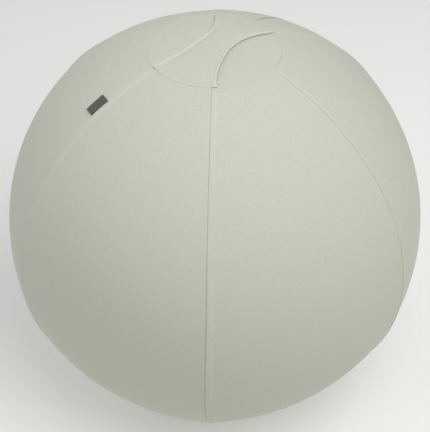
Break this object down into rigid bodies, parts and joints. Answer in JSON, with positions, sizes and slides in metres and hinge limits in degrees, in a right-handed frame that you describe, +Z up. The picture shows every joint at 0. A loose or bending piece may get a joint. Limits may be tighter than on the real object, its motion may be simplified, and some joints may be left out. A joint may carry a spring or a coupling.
{
  "type": "sitting ball",
  "caption": "Round fabric-covered sitting ball: sewn gores, a crown with a carrying strap, a bare seam tab, and a zipped, weighted flat base around an inflatable bladder.",
  "frame": {"origin": "on the floor, at the centre of the flat face that the ball stands on", "axes": "+Z up through the crown, -Y towards the front seam, +X to the right seen from the front"},
  "size_m": [0.646, 0.6542, 0.636],
  "materials": {
    "cover_cloth": "matte",
    "strap_cloth": "matte",
    "tab_tape": "matte",
    "base_cloth": "matte",
    "zip_tape": "matte",
    "zip_coil": "satin",
    "zip_metal": "satin",
    "lining_cloth": "matte",
    "ballast_rubber": "matte",
    "bladder_pvc": "satin",
    "valve_pvc": "satin"
  },
  "bodies": {
    "ball": {"gore_front_right": "cover_cloth", "gore_right": "cover_cloth", "gore_back_right": "cover_cloth", "gore_back_left": "cover_cloth", "gore_left": "cover_cloth", "gore_front_left": "cover_cloth", "crown_disc": "cover_cloth", "handle_end_front": "strap_cloth", "handle_end_back": "strap_cloth", "seam_tab": "tab_tape", "base_panel": "base_cloth", "zip_tape_cover_side": "zip_tape", "zip_tape_base_side": "zip_tape", "zip_coil_cover_side": "zip_coil", "zip_coil_base_side": "zip_coil", "zip_stops": "zip_metal", "zip_guard": "lining_cloth", "ballast_ring": "ballast_rubber", "pouch_lower": "lining_cloth", "pouch_upper": "lining_cloth", "bladder": "bladder_pvc", "valve_neck": "valve_pvc"},
    "handle": {"handle_grip": "strap_cloth"},
    "zip_slider": {"zip_slider": "zip_metal"},
    "zip_pull": {"zip_pull": "zip_metal"},
    "valve_plug": {"valve_plug": "valve_pvc"}
  },
  "joints": [
    {"name": "handle_lift", "type": "slide", "parent": "ball", "child": "handle", "axis": [0, 0, 1], "range_m": [0, 0.02], "deforming": ["handle_end_front", "handle_end_back"]},
    {"name": "zip_slide", "type": "hinge", "parent": "ball", "child": "zip_slider", "pos_m": [0, 0, 0], "axis": [0, 0, 1], "range_deg": [0, 200]},
    {"name": "zip_pull_swing", "type": "hinge", "parent": "zip_slider", "child": "zip_pull", "pos_m": [0.10785, -0.01956, 0.00607], "axis": [-0.9273, 0.1682, -0.3344], "range_deg": [0, 180]},
    {"name": "plug_pull", "type": "slide", "parent": "ball", "child": "valve_plug", "axis": [0, 0, -1], "range_m": [0, 0.0125]}
  ]
}
